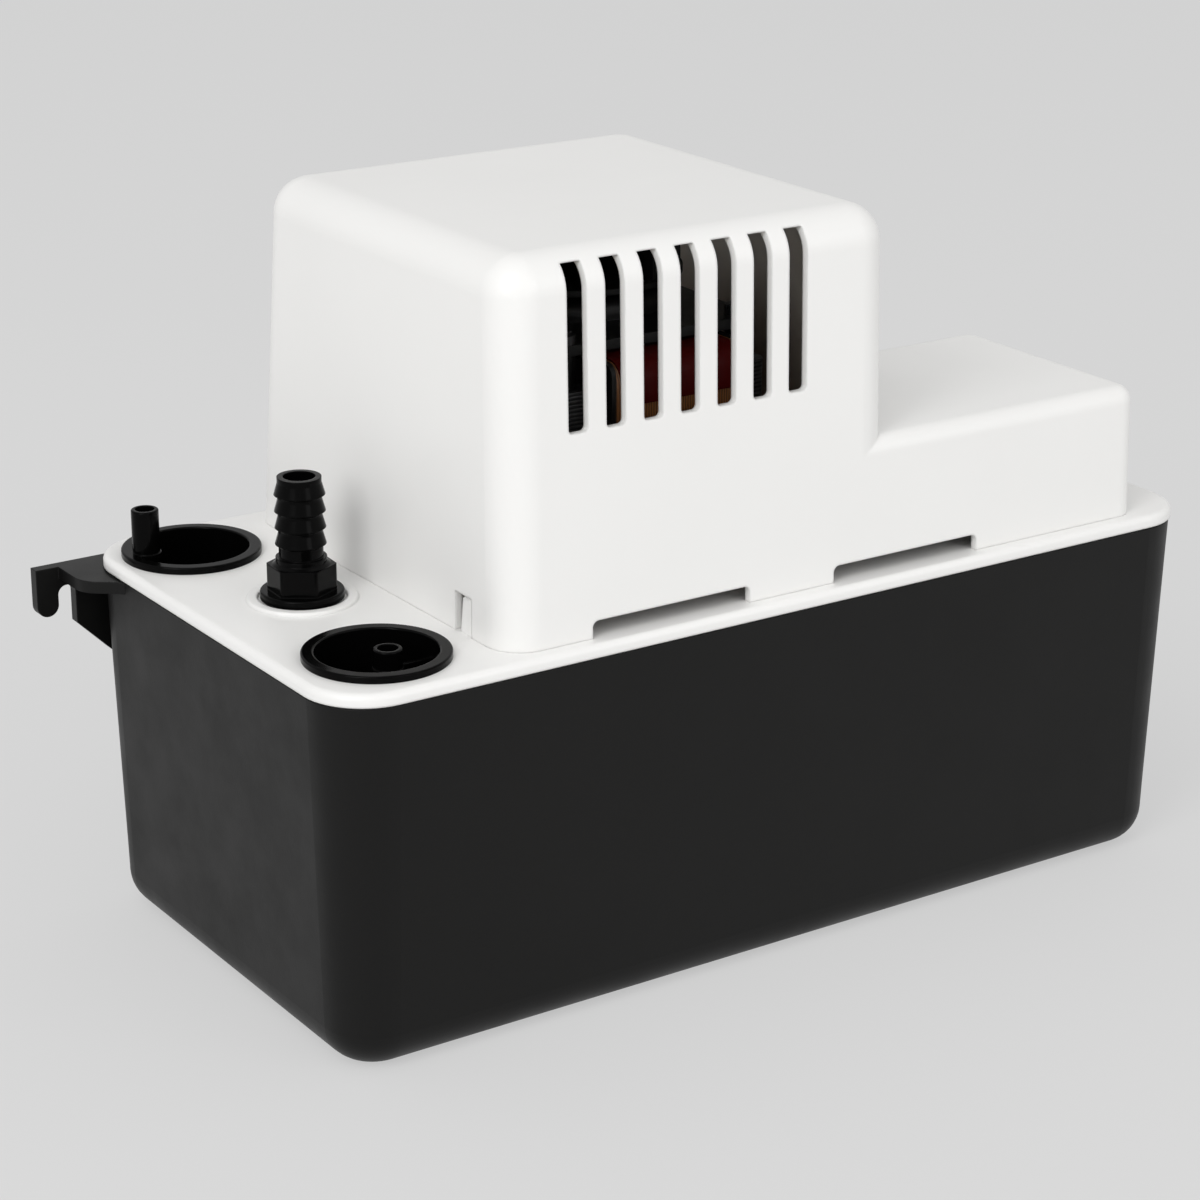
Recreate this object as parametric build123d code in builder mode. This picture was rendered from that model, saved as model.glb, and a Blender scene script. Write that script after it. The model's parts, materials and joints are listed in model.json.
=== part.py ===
"""Condensate pump: tank, deck with pump and motor, float switch and lift-off cover.

Millimetres. +X runs along the tank towards the low switch box, -Y is the front
with the vents, +Z is up. The origin is the middle of the tank's foot.
"""
import os
from math import asin, atan, cos, degrees, radians, sin, sqrt, tan

from build123d import *

# ---------------------------------------------------------------- sizes
# Fits
push_clearance = 0.05       # radial, parts of one assembly pushed together
running_clearance = 0.06    # radial, shaft or pin in its bush
guide_clearance = 0.4       # radial, rod through a guide hole
seat_gap = 0.3              # a moving piece off its stop or seat
slip_clearance = 0.4        # round what lifts off

# Tank
tank_length = 250.0
tank_width = 127.0
rim_height = 90.5
tank_flare = 2.6            # each wall leans out this far between foot and rim
tank_corner_radius = 15.0
tank_base_radius = 10.0
tank_wall = 2.5

# Wall hooks at the tank's rear corners
hook_reach = 14.2
hook_plate = 3.0
hook_finger_width = 5.6
hook_finger_drop = 12.4
hook_notch_width = 4.6
hook_notch_drop = 5.0
hook_plate_drop = 15.3
hook_gusset = 9.0           # plate's foot slopes down to the tank's corner over this width
hook_root = 12.0
hook_web_depth = 27.0
hook_web_overhang = 8.2     # web's outer edge beyond the tank's end
hook_web_straight = 12.0
hook_web_root = 1.5

# Deck plate
deck_overhang = 0.4
deck_thickness = 3.5
deck_edge_radius = 1.6
deck_shadow_gap = 0.5
deck_shadow_inset = 1.0
skirt_depth = 8.0
skirt_wall = 2.0

# Inlet adapters
front_inlet_end_gap = 21.3  # tank's left end to the inlet's axis
front_inlet_side_gap = 20.8 # tank's front to the inlet's axis
rear_inlet_end_gap = 19.5
rear_inlet_side_gap = 19.6
inlet_bore = 28.0
inlet_wall = 1.4
inlet_flange_width = 3.0
inlet_flange_thickness = 1.7
inlet_depth = 22.0
inlet_ledge = 2.0
inlet_edge_round = 0.4
inlet_web_thickness = 1.4
inlet_web_drop = 3.0        # top of the stub's web below the deck's top
stub_diameter = 6.7
stub_bore = 4.8
stub_root_diameter = 7.2    # thicker foot of each stub
front_stub_offset = 2.8
front_stub_drop = 0.2       # below the flange's top
rear_stub_offset = 11.3
rear_stub_angle = 170.0
rear_stub_rise = 10.8

# Check valve and its hose barb
valve_end_gap = 26.0        # tank's left end to the valve's axis
valve_ring_radius = 13.1
valve_ring_width = 2.6
valve_ring_height = 0.9
valve_flange_radius = 9.9
valve_flange_thickness = 1.9
valve_hex_flats = 14.4
valve_hex_height = 6.2
valve_hex_turn = -4.0
valve_collar_radius = 6.0
valve_collar_height = 1.8
valve_stem_radius = 5.2
barb_radius = 6.0
barb_tip_radius = 5.05
barb_pitch = 4.0
barb_count = 4
barb_land = 4.2             # tip of the tail to the top barb's edge
barb_relief = 0.6           # plain stem left under each barb
barb_shoulder = 0.5
valve_height = 29.3
valve_tip_bore = 7.6
valve_chamber_radius = 4.2
valve_ball_radius = 3.6
valve_seat_radius = 2.6
valve_lift = 1.6
valve_neck_radius = 6.2
valve_spigot_radius = 4.8
valve_spigot_length = 12.0
valve_neck_drop = 4.5       # neck below the tank's rim
valve_seat_drop = 1.0       # ball's chamber below the hexagon
valve_stop_height = 2.0     # narrow waist over the ball's chamber
valve_shoulder = 0.6
valve_edge_round = 0.5
valve_hex_round = 1.0
valve_nut_flats = 19.0
valve_nut_height = 4.0
seal_thickness = 0.6

# Motor cover
cover_headroom = 4.9        # shaft's tip to the inside of the top
cover_end_gap = 44.8        # tank's left end to the cover
cover_right = 29.0
cover_side_gap = 3.5        # tank's front and rear to the cover
cover_wall = 2.0
cover_corner_radius = 9.0
cover_top_radius = 8.8
cover_side_lean = 0.8
cover_front_lean = 2.5
cover_back_lean = 9.0
box_end_gap = 17.3          # low box to the tank's right end
box_depth = 68.5
box_rise = 33.5
box_corner_radius = 5.0
box_top_radius = 4.0
vent_count = 7
vent_pitch = 10.1
vent_width = 5.2
vent_height = 38.0
vent_drop = 2.4             # top of the vents below the cover's top
vent_shift = -4.65          # middle vent from the middle of the tall box
vent_corner = 1.2
window_width = 44.0
window_height = 4.2
window_inset = 44.8         # middle of the first window from the cover's left
window_step = 68.7
window_corner = 1.6
latch_width = 7.0
latch_height = 9.4
latch_post_length = 5.0
latch_post_depth = 3.0
latch_post_taper = 3.0
latch_chamfer = 0.8
latch_left_setback = 18.9   # from the cover's front
latch_right_setback = 34.0

# Motor, on the pump's vertical shaft
motor_x = -25.5
post_height = 14.0
post_radius = 5.0
post_inset = 5.0            # post axes in from the stack's corners
screw_radius = 1.9
screw_head_radius = 3.4
screw_head_height = 2.2
screw_end_gap = 3.0         # motor screws' ends above the deck
driver_slot_width = 0.8
driver_slot_depth = 1.0
bracket_plate = 2.5
bracket_pillar_radius = 3.5
bracket_pillar_height = 16.0
bracket_slot = 9.0
stack_height = 22.0
stack_width = 60.0
stack_front_y = -41.0
stack_rear_y = 22.0
stack_corner_radius = 3.0
shading_slot = 2.2
shading_offset = 18.4       # either side of the motor's axis
shading_shift = 10.0
shading_pitch = 10.0
coil_leg = 11.0
coil_window = 8.0
bobbin_wall = 1.2
bobbin_length = 38.4
bobbin_side_gap = 1.8       # bobbin to the stack's outer limbs
bobbin_flange_corner = 3.0
sleeve_corner = 1.0
terminal_pad = 5.0
terminal_depth = 2.0
terminal_pitch = 10.0
terminal_shift = 3.0        # pads forward of the coil's middle
winding_corner = 5.0
winding_build = 6.0
coil_headroom = 0.8
tape_thickness = 0.4
tape_side_gap = 1.5
tape_drop = 8.0             # tape covers the coil from this far above its middle
rotor_radius = 14.0
air_gap = 0.4
end_ring_height = 4.0
end_ring_inset = 1.2
end_ring_width = 3.8
washer_thickness = 0.8
washer_radius = 5.0
slinger_radius = 6.5
slinger_hub_radius = 4.0
slinger_rise = 2.5          # hub above the deck
slinger_hub_height = 1.5
slinger_thickness = 1.4
shaft_radius = 2.4
shaft_chamfer = 0.5
bush_radius = 4.5
bush_length = 9.0
bush_recess = 1.0
boss_drop = 4.0             # bearing boss below the lower bracket
upper_boss_drop = 3.0
bearing_boss_radius = 7.5
bell_radius = 26.0
bell_height = 7.8
bell_round = 4.0
bell_wall = 2.0
bell_slots = 6
bell_slot_length = 9.0
bell_slot_width = 4.0
bell_slot_radius = 17.0     # circle the slots lie on
fan_radius = 28.0
fan_height = 12.5
fan_blades = 9
fan_disc = 1.5
fan_hub_radius = 6.0
fan_blade_thickness = 1.3
fan_blade_turn = 14.0
fan_tip_gap = 0.5           # blades' ends inside the disc's edge
fan_gap = 1.2               # above the bell
shaft_tip = 0.55            # above the fan

# Pump below the deck
shaft_hole_radius = 7.0
column_radius = 12.0
column_wall = 2.5
column_flange_radius = 22.0
column_flange_thickness = 3.5
column_screw_circle = 17.5
column_screw_count = 3
column_screw_turn = 30.0
housing_bottom = 11.0
housing_height = 13.0
housing_wall = 2.5
volute_start_radius = 24.0
volute_growth = 0.9         # outer radius gained each quarter turn
impeller_radius = 20.0
impeller_hub_radius = 5.0
impeller_vanes = 6
vane_thickness = 1.4
spout_offset = 21.0
spout_radius = 5.6
spout_bore = 6.5
spout_rise = 6.0            # spout's axis above the housing's foot
spout_length = 26.0
spigot_radius = 4.8
spigot_length = 14.0
tube_wall = 1.6
tube_bend_radius = 14.0
volute_cover_thickness = 2.5
pump_eye_radius = 7.5
eye_rim = 1.8
strainer_feet = 4           # feet that hold the inlet eye off the tank's floor
strainer_foot_circle = 16.0
strainer_foot_turn = 45.0
strainer_foot_length = 8.0
strainer_foot_height = 3.5
impeller_gap = 1.2
impeller_cap = 1.0          # hub below the shaft's end
impeller_hub_height = 8.2
impeller_disc = 1.6
vane_bow = 3.6
vane_tip_gap = 0.8

# Float and switches
rod_boss_height = 3.0
rod_boss_radius = 5.0
rod_x = 70.0
rod_front_gap = 37.5        # tank's front to the rod
rod_radius = 1.6
float_length = 56.0
float_width = 56.0
float_height = 28.0
float_bottom = 34.0
float_corner_radius = 8.0
float_edge_round = 3.0
collar_radius = 3.4
collar_height = 2.0
collar_play = 0.8           # between lever and collars
rod_end = 1.5               # rod past its end collars
rod_chamfer = 0.4
pivot_x = 34.0
pivot_rise = 16.0           # above the deck
lever_swing = 22.0
lever_thickness = 1.5
lever_width = 12.6
lever_arm_width = 7.0
lever_pin_radius = 1.25
lever_hub_radius = 3.0
lever_tail_end = 1.8        # blade past the plungers
lever_shoulder = 7.0
lever_taper = 5.0
lever_arm_end = 3.0
lever_arm_corner = 1.0
plunger_arm = 5.0
plunger_radius = 1.1
switch_length = 19.8
switch_thickness = 6.3
switch_height = 9.2
ear_thickness = 1.2
ear_tip_half = 4.0
bracket_overhang = 2.0      # bracket's base past the switches
switch_gap = 0.2
switch_corner_radius = 0.8
switch_hole_insets = (5.0, 15.0)
switch_hole_rise = 3.0
switch_screw_radius = 1.2
switch_screw_head_radius = 2.3
switch_screw_head_height = 1.4
screw_tail = 1.2
pin_head_width = 0.9
pin_head_height = 0.7
blade_pitch = 3.0
blade_width = 3.2
blade_thickness = 0.5
blade_reach = 4.0
plunger_hole_depth = 5.0
plunger_foot = 2.6          # button inside the switch
plunger_round = 0.4
cord_box_gap = 22.7         # low box's right end to the cord's axis
cord_rise = 11.0            # above the deck
cord_bore = 7.0
bushing_wall = 1.5
bushing_collar = 2.2
bushing_collar_width = 1.6
bushing_collar_gap = 0.8
cord_saddle_thickness = 2.4
cord_saddle_width = 20.0

# ---------------------------------------------------------------- worked out
deck_top = rim_height + deck_thickness
deck_length = tank_length + 2 * deck_overhang
deck_width = tank_width + 2 * deck_overhang
back_plane = deck_width / 2
front_inlet_at = (front_inlet_end_gap - tank_length / 2, front_inlet_side_gap - tank_width / 2)
rear_inlet_at = (rear_inlet_end_gap - tank_length / 2, tank_width / 2 - rear_inlet_side_gap)
valve_x = valve_end_gap - tank_length / 2
cover_left = cover_end_gap - tank_length / 2
cover_back = tank_width / 2 - cover_side_gap
cover_front = -cover_back
cover_depth = cover_back - cover_front
box_right = tank_length / 2 - box_end_gap
box_back = cover_front + box_depth
box_top = deck_top + box_rise
rod_y = rod_front_gap - tank_width / 2
pivot_z = deck_top + pivot_rise
cord_x = box_right - cord_box_gap
cord_z = deck_top + cord_rise
lever_rest = lever_swing / 2
lever_reach = rod_x - pivot_x
float_travel = 2 * lever_reach * tan(radians(lever_rest))
post_top = deck_top + post_height
stack_bottom = post_top + bracket_pillar_height
stack_top = stack_bottom + stack_height
stack_middle_z = stack_bottom + stack_height / 2
coil_half_height = stack_height / 2 + push_clearance + bobbin_wall + winding_build
upper_plate_bottom = stack_middle_z + coil_half_height + coil_headroom
bell_top = upper_plate_bottom + bell_height
fan_bottom = bell_top + fan_gap
shaft_top = fan_bottom + fan_height + shaft_tip
cover_top = shaft_top + cover_headroom + cover_wall
post_spread = stack_width - 2 * post_inset
post_front_y = stack_front_y + post_inset
post_rear_y = stack_rear_y - post_inset
coil_window_width = bobbin_length + 2 * bobbin_side_gap
post_points = [
    (motor_x + side * post_spread / 2, y) for y in (post_front_y, post_rear_y) for side in (-1, 1)
]
inlet_radius = inlet_bore / 2
latch_points = [
    (cover_left + cover_wall, cover_front + latch_left_setback),
    (box_right - cover_wall, cover_front + latch_right_setback),
]
latch_post_shift = (latch_width - latch_post_length) / 2 - slip_clearance
FROM_BASE = (Align.CENTER, Align.CENTER, Align.MIN)
FROM_TOP = (Align.CENTER, Align.CENTER, Align.MAX)

os.makedirs("parts", exist_ok=True)


def finish(builder, name):
    """Label a finished piece and write it to its own file."""
    builder.part.label = name
    export_step(builder.part, f"parts/{name}.step")


# ---------------------------------------------------------------- tank
def tank_form(inset):
    """Drafted tub with rounded corners and foot, every wall moved in by inset."""
    slope = tank_flare / rim_height
    foot_inset = tank_flare + inset - inset * slope
    with BuildPart() as form:
        with BuildSketch(Plane.XY.offset(inset)):
            RectangleRounded(
                tank_length - 2 * foot_inset,
                tank_width - 2 * foot_inset,
                tank_corner_radius - foot_inset,
            )
        extrude(amount=rim_height - inset, taper=-degrees(atan(slope)))
        fillet(form.edges().group_by(Axis.Z)[0], tank_base_radius - inset)
    return form.part


tank_outside = tank_form(0)
tank_cavity = tank_form(tank_wall)
tank_core = tank_form(tank_wall / 2)

# Left hook: plate in the wall's plane, with a web on top that runs into the tank's side
hook_edge = -tank_length / 2
finger_end = hook_edge - hook_reach
notch_left = finger_end + hook_finger_width
notch_right = notch_left + hook_notch_width
finger_round = hook_finger_width / 2
notch_round = hook_notch_width / 2
finger_foot = rim_height - hook_finger_drop + finger_round
notch_spring = rim_height - hook_notch_drop - notch_round
plate_foot = rim_height - hook_plate_drop
web_edge = hook_edge - hook_web_overhang
with BuildPart() as wall_hook:
    with BuildSketch(Plane.XZ.offset(-back_plane)):
        with BuildLine():
            Polyline(
                (notch_right, notch_spring),
                (notch_right, plate_foot),
                (notch_right + hook_gusset, plate_foot - hook_gusset),
                (hook_edge + hook_root, plate_foot - hook_gusset),
                (hook_edge + hook_root, rim_height),
                (finger_end, rim_height),
                (finger_end, finger_foot),
            )
            ThreePointArc(
                (finger_end, finger_foot),
                (finger_end + finger_round, finger_foot - finger_round),
                (notch_left, finger_foot),
            )
            Line((notch_left, finger_foot), (notch_left, notch_spring))
            ThreePointArc(
                (notch_left, notch_spring),
                (notch_left + notch_round, notch_spring + notch_round),
                (notch_right, notch_spring),
            )
        make_face()
    extrude(amount=hook_plate)
    with BuildSketch(Plane.XY.offset(rim_height)):
        with BuildLine():
            web_turn = (web_edge, back_plane - hook_web_straight)
            web_end = (hook_edge + hook_web_root, back_plane - hook_web_depth)
            Line((web_edge, back_plane), web_turn)
            Spline(web_turn, web_end, tangents=[(0, -1), (0, -1)])
            Polyline(
                web_end,
                (hook_edge + hook_root, back_plane - hook_root),
                (hook_edge + hook_root, back_plane),
                (web_edge, back_plane),
            )
        make_face()
    extrude(amount=-hook_plate)
    add(tank_core, mode=Mode.SUBTRACT)
with BuildPart() as tank:
    add(tank_outside)
    add(tank_cavity, mode=Mode.SUBTRACT)
    add(wall_hook.part)
    mirror(wall_hook.part, about=Plane.YZ)
finish(tank, "tank")

# ---------------------------------------------------------------- deck
rear_wall_lean = cover_back_lean * (cord_z - deck_top) / (cover_top - deck_top)
cord_saddle_y = box_back - cover_wall - rear_wall_lean - slip_clearance - cord_saddle_thickness / 2
cord_barrel_radius = cord_bore / 2 + bushing_wall

with BuildPart() as deck_plate:
    with BuildSketch(Plane.XY.offset(rim_height)):
        RectangleRounded(
            deck_length - 2 * deck_shadow_inset,
            deck_width - 2 * deck_shadow_inset,
            tank_corner_radius + deck_overhang - deck_shadow_inset,
        )
    extrude(amount=deck_shadow_gap)
    with BuildSketch(Plane.XY.offset(rim_height + deck_shadow_gap)):
        RectangleRounded(deck_length, deck_width, tank_corner_radius + deck_overhang)
    extrude(amount=deck_thickness - deck_shadow_gap)
    fillet(deck_plate.edges().group_by(Axis.Z)[-1], deck_edge_radius)
    # skirt that locates the deck inside the tank's mouth
    skirt_inset = tank_wall + slip_clearance + tank_flare * skirt_depth / rim_height
    with BuildSketch(Plane.XY.offset(rim_height)):
        RectangleRounded(
            tank_length - 2 * skirt_inset,
            tank_width - 2 * skirt_inset,
            tank_corner_radius - skirt_inset,
        )
        RectangleRounded(
            tank_length - 2 * (skirt_inset + skirt_wall),
            tank_width - 2 * (skirt_inset + skirt_wall),
            tank_corner_radius - skirt_inset - skirt_wall,
            mode=Mode.SUBTRACT,
        )
    extrude(amount=-skirt_depth)
    # raised ring round the check valve
    with BuildSketch(Plane.XY.offset(deck_top)):
        with Locations((valve_x, 0)):
            Circle(valve_ring_radius)
            Circle(valve_ring_radius - valve_ring_width, mode=Mode.SUBTRACT)
    extrude(amount=valve_ring_height)
    fillet(deck_plate.edges().group_by(Axis.Z)[-1], valve_ring_height / 2)
    # latch posts, standing at the front of their slots in the cover
    with BuildSketch(Plane.XY.offset(deck_top)):
        with Locations(*[(x, y - latch_post_shift) for x, y in latch_points]):
            Rectangle(latch_post_depth, latch_post_length)
    extrude(amount=latch_height - slip_clearance, taper=latch_post_taper)
    chamfer(deck_plate.edges().group_by(Axis.Z)[-1], latch_chamfer)
    # motor posts and rod guide
    with Locations(*[(x, y, deck_top) for x, y in post_points]):
        Cylinder(post_radius, post_height, align=FROM_BASE)
        Cylinder(screw_radius, post_height, align=FROM_BASE, mode=Mode.SUBTRACT)
    with Locations((rod_x, rod_y, deck_top)):
        Cylinder(rod_boss_radius, rod_boss_height, align=FROM_BASE)
    # saddle that holds the cord bushing
    with BuildSketch(Plane.XZ.offset(-(cord_saddle_y + cord_saddle_thickness / 2))):
        with Locations((cord_x, (deck_top + cord_z) / 2)):
            Rectangle(cord_saddle_width, cord_z - deck_top)
        with Locations((cord_x, cord_z)):
            Circle(cord_barrel_radius + push_clearance, mode=Mode.SUBTRACT)
    extrude(amount=cord_saddle_thickness)
    # openings for what hangs through the deck
    with Locations((*front_inlet_at, deck_top), (*rear_inlet_at, deck_top)):
        Hole(inlet_radius + inlet_wall + push_clearance, depth=deck_thickness + skirt_depth + 1)
    with Locations((valve_x, 0, deck_top)):
        Hole(valve_neck_radius + push_clearance, depth=deck_thickness + 1)
    with Locations((motor_x, 0, deck_top)):
        Hole(shaft_hole_radius, depth=deck_thickness + 1)
        with PolarLocations(column_screw_circle, column_screw_count, start_angle=column_screw_turn):
            Hole(screw_radius, depth=deck_thickness + 1)
    with Locations((rod_x, rod_y, deck_top + rod_boss_height)):
        Hole(rod_radius + guide_clearance, depth=deck_thickness + rod_boss_height + 1)
finish(deck_plate, "deck_plate")


# ---------------------------------------------------------------- inlet adapters
flange_top = deck_top + inlet_flange_thickness
cup_bottom = deck_top - inlet_depth
web_top = deck_top - inlet_web_drop


def inlet_adapter(place, stub_x, stub_y, root_top, stub_top):
    """Flanged cup through the deck with a vent stub standing in it on a thicker root."""
    x, y = place
    with BuildPart() as adapter:
        with Locations((x, y, deck_top)):
            Cylinder(inlet_radius + inlet_flange_width, inlet_flange_thickness, align=FROM_BASE)
        fillet(adapter.edges().group_by(Axis.Z)[-1], inlet_edge_round)
        with Locations((x, y, cup_bottom)):
            Cylinder(inlet_radius + inlet_wall, inlet_depth, align=FROM_BASE)
        with Locations((x, y, cup_bottom + inlet_ledge)):
            Cylinder(inlet_radius, inlet_depth + inlet_flange_thickness, align=FROM_BASE, mode=Mode.SUBTRACT)
        fillet(
            adapter.edges().filter_by(GeomType.CIRCLE).group_by(Axis.Z)[-1].group_by(SortBy.LENGTH)[0],
            inlet_edge_round,
        )
        with Locations((x, y, cup_bottom)):
            Cylinder(inlet_radius - inlet_ledge, inlet_ledge, align=FROM_BASE, mode=Mode.SUBTRACT)
        # web that ties the stub to the cup's wall
        web_side = 1 if stub_x > 0 else -1
        web_length = inlet_radius + inlet_wall / 2 - abs(stub_x)
        with BuildSketch(Plane.XY.offset(cup_bottom)):
            with Locations((x + stub_x + web_side * web_length / 2, y + stub_y)):
                Rectangle(web_length, inlet_web_thickness)
        extrude(amount=web_top - cup_bottom)
        with Locations((x + stub_x, y + stub_y, cup_bottom)):
            Cylinder(stub_root_diameter / 2, root_top - cup_bottom, align=FROM_BASE)
            Cylinder(stub_diameter / 2, stub_top - cup_bottom, align=FROM_BASE)
        fillet(
            adapter.edges().filter_by(GeomType.CIRCLE).filter_by_position(
                Axis.Z, stub_top - push_clearance, stub_top + push_clearance
            ).group_by(SortBy.LENGTH)[0],
            inlet_edge_round,
        )
        with Locations((x + stub_x, y + stub_y, cup_bottom)):
            Cylinder(stub_bore / 2, stub_top - cup_bottom, align=FROM_BASE, mode=Mode.SUBTRACT)
    return adapter


front_inlet_adapter = inlet_adapter(
    front_inlet_at, front_stub_offset, 0, web_top, flange_top - front_stub_drop
)
finish(front_inlet_adapter, "front_inlet_adapter")
rear_inlet_adapter = inlet_adapter(
    rear_inlet_at,
    rear_stub_offset * cos(radians(rear_stub_angle)),
    rear_stub_offset * sin(radians(rear_stub_angle)),
    flange_top,
    flange_top + rear_stub_rise,
)
finish(rear_inlet_adapter, "rear_inlet_adapter")

# ---------------------------------------------------------------- check valve
valve_base = deck_top + seal_thickness
hex_bottom = valve_base + valve_flange_thickness
hex_top = hex_bottom + valve_hex_height
collar_top = hex_top + valve_collar_height
valve_top = valve_base + valve_height
chamber_bottom = hex_bottom - valve_seat_drop
ball_rest = chamber_bottom + sqrt(valve_ball_radius**2 - valve_seat_radius**2) + push_clearance
chamber_top = ball_rest + valve_ball_radius + valve_lift + seat_gap
neck_bottom = rim_height - valve_neck_drop
spigot_bottom = neck_bottom - valve_spigot_length

with BuildPart() as valve_body:
    with Locations((valve_x, 0, valve_base)):
        Cylinder(valve_flange_radius, valve_flange_thickness, align=FROM_BASE)
    fillet(valve_body.edges().group_by(Axis.Z)[-1], valve_edge_round)
    with BuildSketch(Plane.XY.offset(hex_bottom)):
        with Locations((valve_x, 0)):
            RegularPolygon(valve_hex_flats / 2, 6, major_radius=False, rotation=valve_hex_turn + 30)
    extrude(amount=valve_hex_height)
    hex_corners = valve_body.edges().filter_by(Axis.Z).filter_by_position(Axis.Z, hex_bottom, hex_top)
    fillet(hex_corners.filter_by(GeomType.LINE), valve_hex_round)
    with Locations((valve_x, 0, hex_top)):
        Cone(valve_hex_flats / 2 - valve_shoulder / 2, valve_collar_radius, valve_shoulder, align=FROM_BASE)
        Cylinder(valve_collar_radius, valve_collar_height, align=FROM_BASE)
    with Locations((valve_x, 0, collar_top)):
        Cylinder(valve_stem_radius, valve_top - collar_top, align=FROM_BASE)
    for barb in range(barb_count):
        barb_edge = valve_top - barb_land - barb * barb_pitch
        with Locations((valve_x, 0, barb_edge)):
            Cone(barb_radius, barb_tip_radius, barb_pitch - barb_relief, align=FROM_BASE)
            Cone(valve_stem_radius, barb_radius, barb_shoulder, align=FROM_TOP)
    with Locations((valve_x, 0, valve_base)):
        Cylinder(valve_neck_radius, valve_base - neck_bottom, align=FROM_TOP)
    with Locations((valve_x, 0, neck_bottom)):
        Cylinder(valve_spigot_radius, valve_spigot_length, align=FROM_TOP)
    # waterway: inlet bore, seat, ball chamber, stop and tail bore
    with Locations((valve_x, 0, spigot_bottom)):
        Cylinder(valve_seat_radius, valve_top - spigot_bottom, align=FROM_BASE, mode=Mode.SUBTRACT)
    with Locations((valve_x, 0, chamber_bottom)):
        Cylinder(valve_chamber_radius, chamber_top - chamber_bottom, align=FROM_BASE, mode=Mode.SUBTRACT)
    with Locations((valve_x, 0, valve_top)):
        Cylinder(
            valve_tip_bore / 2,
            valve_top - chamber_top - valve_stop_height,
            align=FROM_TOP,
            mode=Mode.SUBTRACT,
        )
finish(valve_body, "valve_body")

with BuildPart() as valve_seal:
    with Locations((valve_x, 0, deck_top)):
        Cylinder(valve_flange_radius - seal_thickness, seal_thickness, align=FROM_BASE)
        Cylinder(valve_neck_radius + push_clearance, seal_thickness, align=FROM_BASE, mode=Mode.SUBTRACT)
finish(valve_seal, "valve_seal")

with BuildPart() as valve_nut:
    with BuildSketch(Plane.XY.offset(rim_height)):
        with Locations((valve_x, 0)):
            RegularPolygon(valve_nut_flats / 2, 6, major_radius=False)
            Circle(valve_neck_radius + push_clearance, mode=Mode.SUBTRACT)
    extrude(amount=-valve_nut_height)
finish(valve_nut, "valve_nut")

with BuildPart() as valve_ball:
    with Locations((valve_x, 0, ball_rest)):
        Sphere(valve_ball_radius)
finish(valve_ball, "valve_ball")


# ---------------------------------------------------------------- motor cover
def drafted_block(x0, x1, y0, y1, z0, z1, leans, corner, top_radius):
    """Block whose walls lean in by leans (left, right, front, back) over the cover's height."""
    rise = (z1 - z0) / (cover_top - deck_top)
    left, right, front, back = [lean * rise for lean in leans]
    with BuildPart() as block:
        with BuildSketch(Plane.XY.offset(z0)):
            with Locations(((x0 + x1) / 2, (y0 + y1) / 2)):
                RectangleRounded(x1 - x0, y1 - y0, corner)
        with BuildSketch(Plane.XY.offset(z1)):
            with Locations(((x0 + left + x1 - right) / 2, (y0 + front + y1 - back) / 2)):
                RectangleRounded(x1 - x0 - left - right, y1 - y0 - front - back, corner)
        loft()
        fillet(block.edges().group_by(Axis.Z)[-1], top_radius)
    return block.part


def cover_form(inset):
    """Tall box and low box as one form, every wall moved in by inset."""
    leans = (cover_side_lean, cover_side_lean, cover_front_lean, cover_back_lean)
    tall = drafted_block(
        cover_left + inset, cover_right - inset, cover_front + inset, cover_back - inset,
        deck_top, cover_top - inset, leans, cover_corner_radius - inset, cover_top_radius - inset,
    )
    low = drafted_block(
        cover_right / 2, box_right - inset, cover_front + inset, box_back - inset,
        deck_top, box_top - inset, leans, box_corner_radius - inset, box_top_radius - inset,
    )
    with BuildPart() as form:
        add(tall)
        add(low)
    return form.part


cover_outside = cover_form(0)
cover_inside = cover_form(cover_wall)
cover_middle = (cover_left + cover_right) / 2
vent_middle_z = cover_top - vent_drop - vent_height / 2
first_window_x = cover_left + window_inset

with BuildPart() as motor_cover:
    add(cover_outside)
    add(cover_inside, mode=Mode.SUBTRACT)
    with BuildSketch(Plane.XZ) as vents:
        with Locations((cover_middle + vent_shift, vent_middle_z)):
            with GridLocations(vent_pitch, 0, vent_count, 1):
                Rectangle(vent_width, vent_height)
        fillet(vents.vertices().group_by(Axis.Y)[0], vent_corner)
    extrude(amount=cover_depth, both=True, mode=Mode.SUBTRACT)
    # windows along the foot, two in front and one at the back of the tall box
    with BuildSketch(Plane.XZ):
        with Locations((first_window_x, deck_top), (first_window_x + window_step, deck_top)):
            RectangleRounded(window_width, 2 * window_height, window_corner)
    extrude(amount=cover_depth, mode=Mode.SUBTRACT)
    with BuildSketch(Plane.XZ):
        with Locations((first_window_x, deck_top)):
            RectangleRounded(window_width, 2 * window_height, window_corner)
    extrude(amount=-cover_depth, mode=Mode.SUBTRACT)
    # slots for the latch posts
    with BuildSketch(Plane.XY.offset(deck_top)):
        with Locations(*latch_points):
            Rectangle(4 * cover_wall, latch_width)
    extrude(amount=latch_height, mode=Mode.SUBTRACT)
    # open-bottomed slot over the cord bushing
    with BuildSketch(Plane.XZ.offset(-cord_saddle_y)):
        with Locations((cord_x, cord_z)):
            Circle(cord_barrel_radius + slip_clearance)
        with Locations((cord_x, (deck_top + cord_z) / 2)):
            Rectangle(2 * (cord_barrel_radius + slip_clearance), cord_z - deck_top)
    extrude(amount=-cover_depth, mode=Mode.SUBTRACT)
finish(motor_cover, "motor_cover")

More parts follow.
